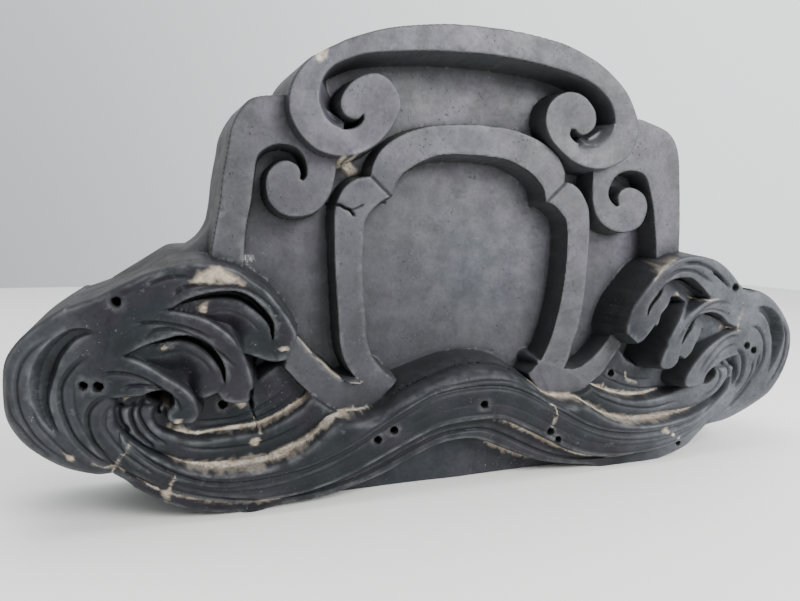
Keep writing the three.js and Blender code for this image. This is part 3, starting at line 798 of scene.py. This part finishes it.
def crack_and_dust(r):
    """Cracks in the clay, and the dust that lies in them and along the joints."""
    for points, side, width, deep in CRACKS:
        r.groove(jagged(points, side, 0.5, 6, 21), width, deep, ends=0.1)
    for points, side in PALE_CRACKS:
        r.streak("dust", jagged(points, side, 0.6, 7, 23), 0.4, 0.6, rough=0.4, seed=31)
    for side, thin, last in ((LEFT, 1.0, 13), (RIGHT, 0.8, 19)):
        line = STRAND_AB[3:-3].on(side) + (0, 2.3)
        r.streak("dust", line, 0.75 * thin, 0.95, rough=0.2, seed=41 + side)
        joint = WAVE_TOP[5:last].on(side) + (0, 0.9)
        r.streak("dust", joint, 0.85 * thin, 0.95, ends=0.3, rough=0.3, seed=43 + side)
        r.streak("dust", joint, 2.2 * thin, 0.35, ends=0.35, rough=0.4, seed=44 + side)
    r.streak("dust", WAVE_TOP[10:17].on(LEFT) + (0, 0.7), 0.8, 0.8, ends=0.3, rough=0.4, seed=48)
    r.streak("dust", FOOT_UPPER.on(LEFT) + (-0.6, 0.6), 0.55, 0.6, rough=0.7, seed=45)
    behind_foot = straight([(84, 69), (80, 64), (76, 60), (71, 58.5)], RIGHT)
    r.streak("dust", behind_foot, 0.9, 0.8, ends=0.3, seed=46)
    for line, last, under in ((WAVE_STEP, 9, 1.6), (WAVE_FOOT, 4, 2.1)):
        below = (0, under)
        r.streak("dust", line[1:last].on(RIGHT) - below, 0.6, 0.9, ends=0.25, rough=0.2, seed=51)
        r.streak("dust", line[5:].on(LEFT) - below, 0.55, 0.7, rough=0.8, seed=53)
    r.streak("dust", WAVE_STEP[4:11].on(LEFT) - (0, 1.0), 0.6, 0.5, rough=0.9, seed=57)
    for points, width, strength, seed in DUST_STREAKS:
        r.streak("dust", straight(points, RIGHT), width, strength, seed=seed)
    r.streak("dust", LOBE_1_OUTER[2:5].on(RIGHT) + (3, 2), 0.5, 0.5, seed=67)


def swell(r, at, margin, centre, radius, height, uneven, grain, seed):
    """Raises or sinks the clay round a place, with a lumpy surface."""
    part = r.near(straight([at], RIGHT), margin)
    x, z = r.at(part)
    lump = bump(x, z, (centre[0], centre[1] + BASE_LINE), radius)
    r.depth[part] += height * lump * (1 + uneven * wavy(x, z, grain, seed))


def age(r):
    """Cracks and chips in the clay, and where dirt, dust and bare clay show."""
    crack_and_dust(r)
    part, d = r.inside(straight(BARE_PATCH, LEFT), 5)
    ragged = d + 1.3 * wavy(*r.at(part), 6, 61)
    r.mark("bare", part, ease(ragged, -0.8, 1.6))
    for at, radius, kind in SPOTS:
        r.spot(kind, at, radius, seed=int(abs(at[0])))
    r.spot("dust", PLUGGED_VENT, 2.1, rough=0.1, seed=71)
    swell(r, (-98, 246), 8, (-99, 247), 3.0, -1.8, 0.4, 5, 73)
    swell(r, (-78, 187), 10, (-78, 187), 6, 3.5, 0.3, 4, 74)


def relief_field(step):
    r = Relief(step)
    carve_shield(r)
    carve_clouds(r)
    carve_wave(r)
    carve_lines(r)
    for x, z, radius in VENTS:
        r.vent(x, z + BASE_LINE, VENT_SIZE * radius, VENT_DEPTH)
    age(r)
    r.depth += 0.35 * wavy(r.X, r.Z, 60, 3) + 0.13 * wavy(r.X, r.Z, 17, 4) + 0.05 * wavy(r.X, r.Z, 7, 5)
    solid = np.maximum(r.depth, 0)
    # hollow: painted shade, darkening the clay wherever it lies below its surroundings.
    r.marks["hollow"] = np.clip((blurred(solid, r.cells(4)) - solid) / 7, 0, 1)
    # edge: lighter rounded edges, partly wear and partly a painted highlight.
    r.marks["edge"] = np.clip((solid - blurred(solid, r.cells(1.1))) / 0.9 - 0.1, 0, 1)
    # wall: painted shade on the steep walls between levels.
    steep = np.hypot(*np.gradient(solid, step))
    r.marks["wall"] = ease(blurred(steep, 1), 0.8, 3.5)
    r.marks["slate"] = cloud_share(r)
    # Partly smoke, partly painted shade: the shield darker towards its foot and the left.
    r.marks["smoke_and_shade"] = smoke_and_shade_share(r, blurred(r.marks["slate"], r.cells(8)))
    r.marks["blue"] = bump(r.X, r.Z, (8, 128), 34)
    on_plate = (np.abs(r.depth - PLATE) < 1.5) & (r.Z < 29) & (np.abs(r.X) < 112)
    # Clouds lighter towards the right end as painted light from the bright side. Also lighter at the left
    # cloud's outer end and a little on the plate.
    pale_and_lit = np.maximum(ease(r.X, 90, 190), 0.4 * ease(-r.X, 205, 245))
    r.marks["pale_and_lit"] = np.where(on_plate, 0.2, pale_and_lit)
    return r


def cloud_share(r):
    """1 on the clouds and the wave, whose clay is darker and bluer, and 0 on the shield."""
    around = [(0, -30), (270, -30), (275, 135), (190, 140), (164, 131)]
    low = both_halves(around, LOBE_1_OUTER, UNDER_FOOT, WAVE_TOP[16:])
    share = np.zeros(r.X.shape)
    part, d = r.inside(low)
    share[part] = ease(d, -4.5, -2)
    for side in (LEFT, RIGHT):
        part, d = r.inside(foot_outline(side))
        share[part] *= 1 - ease(d, -0.6, 0.8)
    return share


def smoke_and_shade_share(r, near_clouds):
    """How much darker the shield is coloured towards its foot, to the left and close to the clouds:
    partly smoke, partly painted shade.
    """
    low = 0.45 * ease(-r.Z, -185, -60) + 0.4 * ease(-r.X, -60, 110) * ease(-r.Z, -260, -190)
    return np.maximum(low, 0.85 * ease(near_clouds, 0.02, 0.55) * ease(np.abs(r.X), 86, 104))


def closed_mesh(name, x, z, depth):
    """A closed block between a field of depths and a flat plane past the back."""
    rows, columns = depth.shape
    X, Z = np.meshgrid(x, z)
    front = np.stack([X * MM, BACK_Y - depth * MM, Z * MM], -1).reshape(-1, 3)
    back = np.stack([X * MM, np.full(X.shape, BACK_Y + PAST_BACK * MM), Z * MM], -1).reshape(-1, 3)
    index = np.arange(rows * columns).reshape(rows, columns)
    a, b = index[:-1, :-1].ravel(), index[:-1, 1:].ravel()
    c, d = index[1:, 1:].ravel(), index[1:, :-1].ravel()
    count = rows * columns
    faces = [np.stack([a, b, c, d], 1), np.stack([d, c, b, a], 1) + count]
    ring = np.concatenate([index[0, :-1], index[:-1, -1], index[-1, :0:-1], index[:0:-1, 0]])
    following = np.roll(ring, -1)
    faces.append(np.stack([following, ring, ring + count, following + count], 1))
    faces = np.vstack(faces)
    mesh = bpy.data.meshes.new(name)
    points = np.vstack([front, back])
    mesh.vertices.add(len(points))
    mesh.vertices.foreach_set("co", points.astype(np.float32).ravel())
    mesh.loops.add(faces.size)
    mesh.loops.foreach_set("vertex_index", faces.astype(np.int32).ravel())
    mesh.polygons.add(len(faces))
    mesh.polygons.foreach_set("loop_start", np.arange(0, faces.size, 4, dtype=np.int32))
    mesh.update(calc_edges=True)
    return placed(name, mesh)


def box_mesh(name, low, high):
    x, y, z = zip(low, high)
    corners = [(i, j, k) for k in z for j in y for i in x]
    faces = [(0, 2, 3, 1), (4, 5, 7, 6), (0, 1, 5, 4), (2, 6, 7, 3), (0, 4, 6, 2), (1, 3, 7, 5)]
    mesh = bpy.data.meshes.new(name)
    mesh.from_pydata(corners, [], faces)
    return placed(name, mesh)


def apply_modifiers(piece):
    settled = bpy.data.meshes.new_from_object(piece.evaluated_get(bpy.context.evaluated_depsgraph_get()))
    piece.modifiers.clear()
    piece.data = settled


def combine(piece, other, operation):
    modifier = piece.modifiers.new("combine", "BOOLEAN")
    modifier.object = other
    modifier.operation = operation
    modifier.solver = "MANIFOLD"
    apply_modifiers(piece)
    bpy.data.objects.remove(other)


def hollow_mesh():
    """The space in the back, as a closed block to cut away."""
    r = Relief(HOLLOW_STEP)
    cloud = [(100, -10)], UNDERSIDE[1:], CLOUD_EDGE, CLOUD_TOP
    tile = both_halves(*cloud, SHOULDER[1:], BAND_OUTER[:9].back())
    low = both_halves(*cloud, LOBE_1_OUTER[2:9], [(100, 84)])
    for outline, floor in ((tile, SHALLOW_HOLLOW), (low, DEEP_HOLLOW)):
        part, d = r.inside(outline, HOLLOW_STEP)
        wall = (d - WALL) * 6 + 3 * wavy(*r.at(part), 40, 11)
        bowl = smooth_min(wall, floor, 8)
        r.depth[part] = np.maximum(r.depth[part], np.maximum(bowl, BEHIND))
    r.depth = np.where(r.depth > 2, r.depth + 0.8 * wavy(r.X, r.Z, 30, 12), r.depth)
    return closed_mesh("hollow", r.x, r.z, r.depth)


def make_tile():
    r = relief_field(GRID_STEP)
    tile = closed_mesh("tile", r.x, r.z, r.depth)
    room = box_mesh("room", (-1, BACK_Y - 0.2, 0), (1, BACK_Y, 1))
    combine(tile, room, "INTERSECT")
    combine(tile, hollow_mesh(), "DIFFERENCE")
    thin = tile.modifiers.new("thin", "DECIMATE")
    faces = sum(len(p.vertices) - 2 for p in tile.data.polygons)
    thin.ratio = min(1.0, MOST_TRIANGLES / faces)
    apply_modifiers(tile)
    tile.data.set_sharp_from_angle(angle=math.radians(SHARP_ANGLE))
    return tile, r


class Nodes:
    """Short ways to add and join the shader nodes of a material or of the world."""

    def __init__(self, owner):
        owner.use_nodes = True
        self.tree = owner.node_tree
        self.place = self.tree.nodes.new("ShaderNodeTexCoord").outputs

    def plug(self, value, socket):
        if isinstance(value, bpy.types.NodeSocket):
            self.tree.links.new(value, socket)
        elif isinstance(value, tuple):
            socket.default_value = (*value, 1)
        else:
            socket.default_value = value

    def layer(self, name):
        node = self.tree.nodes.new("ShaderNodeAttribute")
        node.attribute_name = name
        return node.outputs["Fac"]

    def noise(self, size_mm, detail=3, rough=0.55):
        """Noise of about this grain, 0 to 1."""
        node = self.tree.nodes.new("ShaderNodeTexNoise")
        self.plug(self.place["Object"], node.inputs["Vector"])
        node.inputs["Scale"].default_value = 1 / (size_mm * MM)
        node.inputs["Detail"].default_value = detail
        node.inputs["Roughness"].default_value = rough
        return node.outputs["Fac"]

    def ramp(self, value, start, end, low=0.0, high=1.0):
        node = self.tree.nodes.new("ShaderNodeMapRange")
        node.interpolation_type = "SMOOTHSTEP"
        for name, number in (("From Min", start), ("From Max", end), ("To Min", low), ("To Max", high)):
            node.inputs[name].default_value = number
        self.plug(value, node.inputs["Value"])
        return node.outputs["Result"]

    def math(self, kind, first, second):
        node = self.tree.nodes.new("ShaderNodeMath")
        node.operation = kind
        self.plug(first, node.inputs[0])
        self.plug(second, node.inputs[1])
        return node.outputs[0]

    def times(self, first, second):
        return self.math("MULTIPLY", first, second)

    def mix(self, share, first, second, kind="MIX"):
        node = self.tree.nodes.new("ShaderNodeMix")
        node.data_type = "RGBA"
        node.blend_type = kind
        self.plug(share, node.inputs["Factor"])
        self.plug(first, node.inputs[6])
        self.plug(second, node.inputs[7])
        return node.outputs[2]


SHIELD_CLAY = (0.102, 0.1, 0.112)
SLATE_CLAY = (0.013, 0.017, 0.02)
PLUM_SLATE = (0.021, 0.019, 0.026)
PALE_AND_LIT_SLATE = (0.12, 0.126, 0.142)
PURPLE_CLAY = (0.12, 0.11, 0.14)
BLUE_CLAY = (0.072, 0.082, 0.1)
SMOKED_AND_SHADED_CLAY = (0.022, 0.023, 0.029)
# Dark sooty pits, and the colour of the painted shade in hollows, grooves and on walls.
SOOT_AND_SHADE = (0.018, 0.019, 0.021)
DUST = (0.56, 0.5, 0.42)
BARE_CLAY = (0.43, 0.36, 0.28)
SCUFF = (0.34, 0.38, 0.35)
SMUT = (0.06, 0.06, 0.064)
WORN_AND_LIT_EDGE = (0.13, 0.134, 0.142)
GRIT = (0.4, 0.41, 0.4)
BROWN_CLAY = (0.3, 0.25, 0.2)
BROWN_DUST = (0.4, 0.33, 0.25)
SHADE, COOL_SHADE, FINE_SHADE = (0.5, 0.5, 0.5), (0.5, 0.5, 0.52), (0.45, 0.45, 0.45)
METAL_SHEEN = 0.12


def clay_material():
    """Fired clay smoked to a silvery grey, satin, with painted shade in the hollows, grooves and walls,
    and dust in the joints.
    """
    material = bpy.data.materials.new("smoked_clay")
    n = Nodes(material)
    shader = n.tree.nodes["Principled BSDF"].inputs
    broad, middle, fine = n.noise(60, 3), n.noise(14, 4), n.noise(2.2, 4, 0.6)
    color = n.mix(n.ramp(broad, 0.45, 0.68), SHIELD_CLAY, PURPLE_CLAY)
    color = n.mix(n.ramp(n.noise(45, 3), 0.5, 0.72, 0, 0.5), color, BLUE_CLAY)
    color = n.mix(n.times(n.layer("blue"), n.ramp(middle, 0.3, 0.6, 0.2, 0.9)), color, BLUE_CLAY)
    # Darker towards the foot and the left: partly smoke, partly painted shade.
    color = n.mix(n.layer("smoke_and_shade"), color, SMOKED_AND_SHADED_CLAY)
    slate = n.mix(n.ramp(n.noise(35, 3), 0.4, 0.62), SLATE_CLAY, PLUM_SLATE)
    # Painted light: the clouds lighter towards the right end, also at the left cloud's outer end.
    slate = n.mix(n.times(n.layer("pale_and_lit"), n.ramp(broad, 0.3, 0.6, 0.6, 1.0)), slate, PALE_AND_LIT_SLATE)
    color = n.mix(n.layer("slate"), color, slate)
    color = n.mix(n.ramp(middle, 0.35, 0.68, 0.0, 0.6), color, SHADE, "MULTIPLY")
    color = n.mix(n.ramp(n.noise(5, 4, 0.6), 0.5, 0.7, 0.0, 0.35), color, COOL_SHADE, "MULTIPLY")
    color = n.mix(n.ramp(fine, 0.35, 0.7, 0.0, 0.35), color, FINE_SHADE, "MULTIPLY")
    pits = n.times(n.ramp(n.noise(1.9, 2, 0.5), 0.63, 0.71), n.ramp(n.noise(22, 2), 0.43, 0.65))
    smuts = n.times(n.ramp(n.noise(5, 3, 0.6), 0.61, 0.7), n.ramp(n.noise(40, 2), 0.43, 0.6, 0.0, 0.8))
    color = n.mix(smuts, color, SMUT)
    color = n.mix(n.times(pits, 0.8), color, SOOT_AND_SHADE)
    # Edges lightened, partly as wear and partly as a painted highlight.
    worn_and_lit_edge = n.times(n.layer("edge"), n.ramp(n.noise(9, 3), 0.35, 0.65, 0.1, 0.6))
    color = n.mix(worn_and_lit_edge, color, WORN_AND_LIT_EDGE)
    # Painted shade on the steep walls.
    color = n.mix(n.times(n.layer("wall"), 0.75), color, SOOT_AND_SHADE)
    # Painted shade in the hollows.
    color = n.mix(n.ramp(n.layer("hollow"), 0.25, 0.95, 0.0, 0.5), color, SOOT_AND_SHADE)
    # Painted shade in the grooves, slits and vents.
    color = n.mix(n.times(n.layer("crease"), 0.7), color, SOOT_AND_SHADE)
    grit = n.times(n.ramp(n.noise(1.3, 2, 0.5), 0.7, 0.76), n.ramp(n.noise(30, 2), 0.5, 0.7, 0.0, 0.5))
    color = n.mix(grit, color, GRIT)
    crumbs = n.ramp(n.noise(1.6, 4, 0.7), 0.3, 0.55, 0.45, 1.0)
    dust = n.times(n.layer("dust"), crumbs)
    bare = n.times(n.layer("bare"), n.ramp(n.noise(2.5, 4, 0.7), 0.3, 0.5, 0.5, 1.0))
    scuff = n.times(n.layer("scuff"), n.ramp(n.noise(1.5, 4, 0.7), 0.42, 0.6))
    color = n.mix(scuff, color, SCUFF)
    color = n.mix(bare, color, n.mix(n.ramp(fine, 0.35, 0.65), BARE_CLAY, BROWN_CLAY))
    color = n.mix(dust, color, n.mix(n.ramp(n.noise(6, 3), 0.4, 0.62), DUST, BROWN_DUST))
    n.plug(color, shader["Base Color"])
    powder = n.math("MAXIMUM", dust, bare)
    rough = n.math("ADD", n.ramp(middle, 0.3, 0.7, 0.46, 0.58), n.times(powder, 0.4))
    n.plug(rough, shader["Roughness"])
    n.plug(n.math("SUBTRACT", 0.45, n.times(n.layer("slate"), 0.25)), shader["Specular IOR Level"])
    n.plug(n.math("SUBTRACT", METAL_SHEEN, n.times(powder, METAL_SHEEN)), shader["Metallic"])
    grain = n.math("ADD", n.times(fine, 0.5), n.times(pits, -1.2))
    grain = n.math("ADD", grain, n.times(powder, n.times(n.noise(1.2, 3, 0.6), 1.6)))
    bump = n.tree.nodes.new("ShaderNodeBump")
    bump.inputs["Strength"].default_value = 0.5
    bump.inputs["Distance"].default_value = 0.5 * MM
    n.plug(grain, bump.inputs["Height"])
    n.plug(bump.outputs["Normal"], shader["Normal"])
    return material


def add_layers(tile, r):
    """Carries the relief's marks over to the tile's corners, where the material reads them."""
    count = len(tile.data.vertices)
    at = np.empty(count * 3, np.float32)
    tile.data.vertices.foreach_get("co", at)
    x, y, z = at.reshape(-1, 3).T
    front = y < BACK_Y - 0.5 * MM
    inner = r.sample(r.depth, x / MM, z / MM) - (BACK_Y - y) / MM > 6
    for name, marks in r.marks.items():
        values = r.sample(marks, x / MM, z / MM)
        values = np.where(front & ~inner, values, 0.8 if name == "slate" else 0.0)
        layer = tile.data.attributes.new(name, "FLOAT", "POINT")
        layer.data.foreach_set("value", values.astype(np.float32))


# The floor, the point that the lamps shine at, and the room light along each axis of direction: where
# it starts to change, where it stops, and from what strength to what strength.
FLOOR = ((-1.5, -1.2, -0.02), (1.5, 1.5, -0.0004))
FLOOR_COLOR = (0.93, 0.94, 0.905)
FLOOR_ROUGHNESS = 0.7
LIT_POINT = (0, 0, 0.12)
ROOM_COLOR = (0.93, 0.95, 0.97)
ROOM_LIGHT = {"X": (-0.5, 0.9, 0.08, 1.2), "Y": (-0.2, 0.5, 0.05, 0.5), "Z": (-0.2, 0.9, 0.05, 0.45)}


def add_floor():
    floor = box_mesh("floor", *FLOOR)
    material = bpy.data.materials.new("pale floor")
    n = Nodes(material)
    shader = n.tree.nodes["Principled BSDF"].inputs
    n.plug(FLOOR_COLOR, shader["Base Color"])
    n.plug(FLOOR_ROUGHNESS, shader["Roughness"])
    floor.data.materials.append(material)


def add_room_light():
    """Soft light of a pale room: strongest from the right, behind and above, weak from the left."""
    world = bpy.data.worlds.new("world")
    bpy.context.scene.world = world
    n = Nodes(world)
    background = n.tree.nodes["Background"].inputs
    n.plug(ROOM_COLOR, background["Color"])
    direction = n.tree.nodes.new("ShaderNodeSeparateXYZ")
    n.plug(n.place["Generated"], direction.inputs[0])
    x, y, z = (n.ramp(direction.outputs[axis], *limits) for axis, limits in ROOM_LIGHT.items())
    n.plug(n.math("ADD", n.math("ADD", x, y), z), background["Strength"])


def add_light(name, at, size, power):
    data = bpy.data.lights.new(name, "AREA")
    data.size = size
    data.energy = power
    light = placed(name, data)
    light.location = at
    aim = Vector(LIT_POINT) - Vector(at)
    light.rotation_euler = aim.to_track_quat("-Z", "Y").to_euler()


add_camera()
add_floor()
add_room_light()
add_light("key", (0.75, -1.15, 0.95), 0.8, 36)
add_light("top", (-0.2, 0.1, 1.4), 0.9, 12)

tile, relief = make_tile()
add_layers(tile, relief)
tile.data.materials.clear()
tile.data.materials.append(clay_material())
tile.name = "ornament_tile"
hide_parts(NODE)
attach(tile, "root")
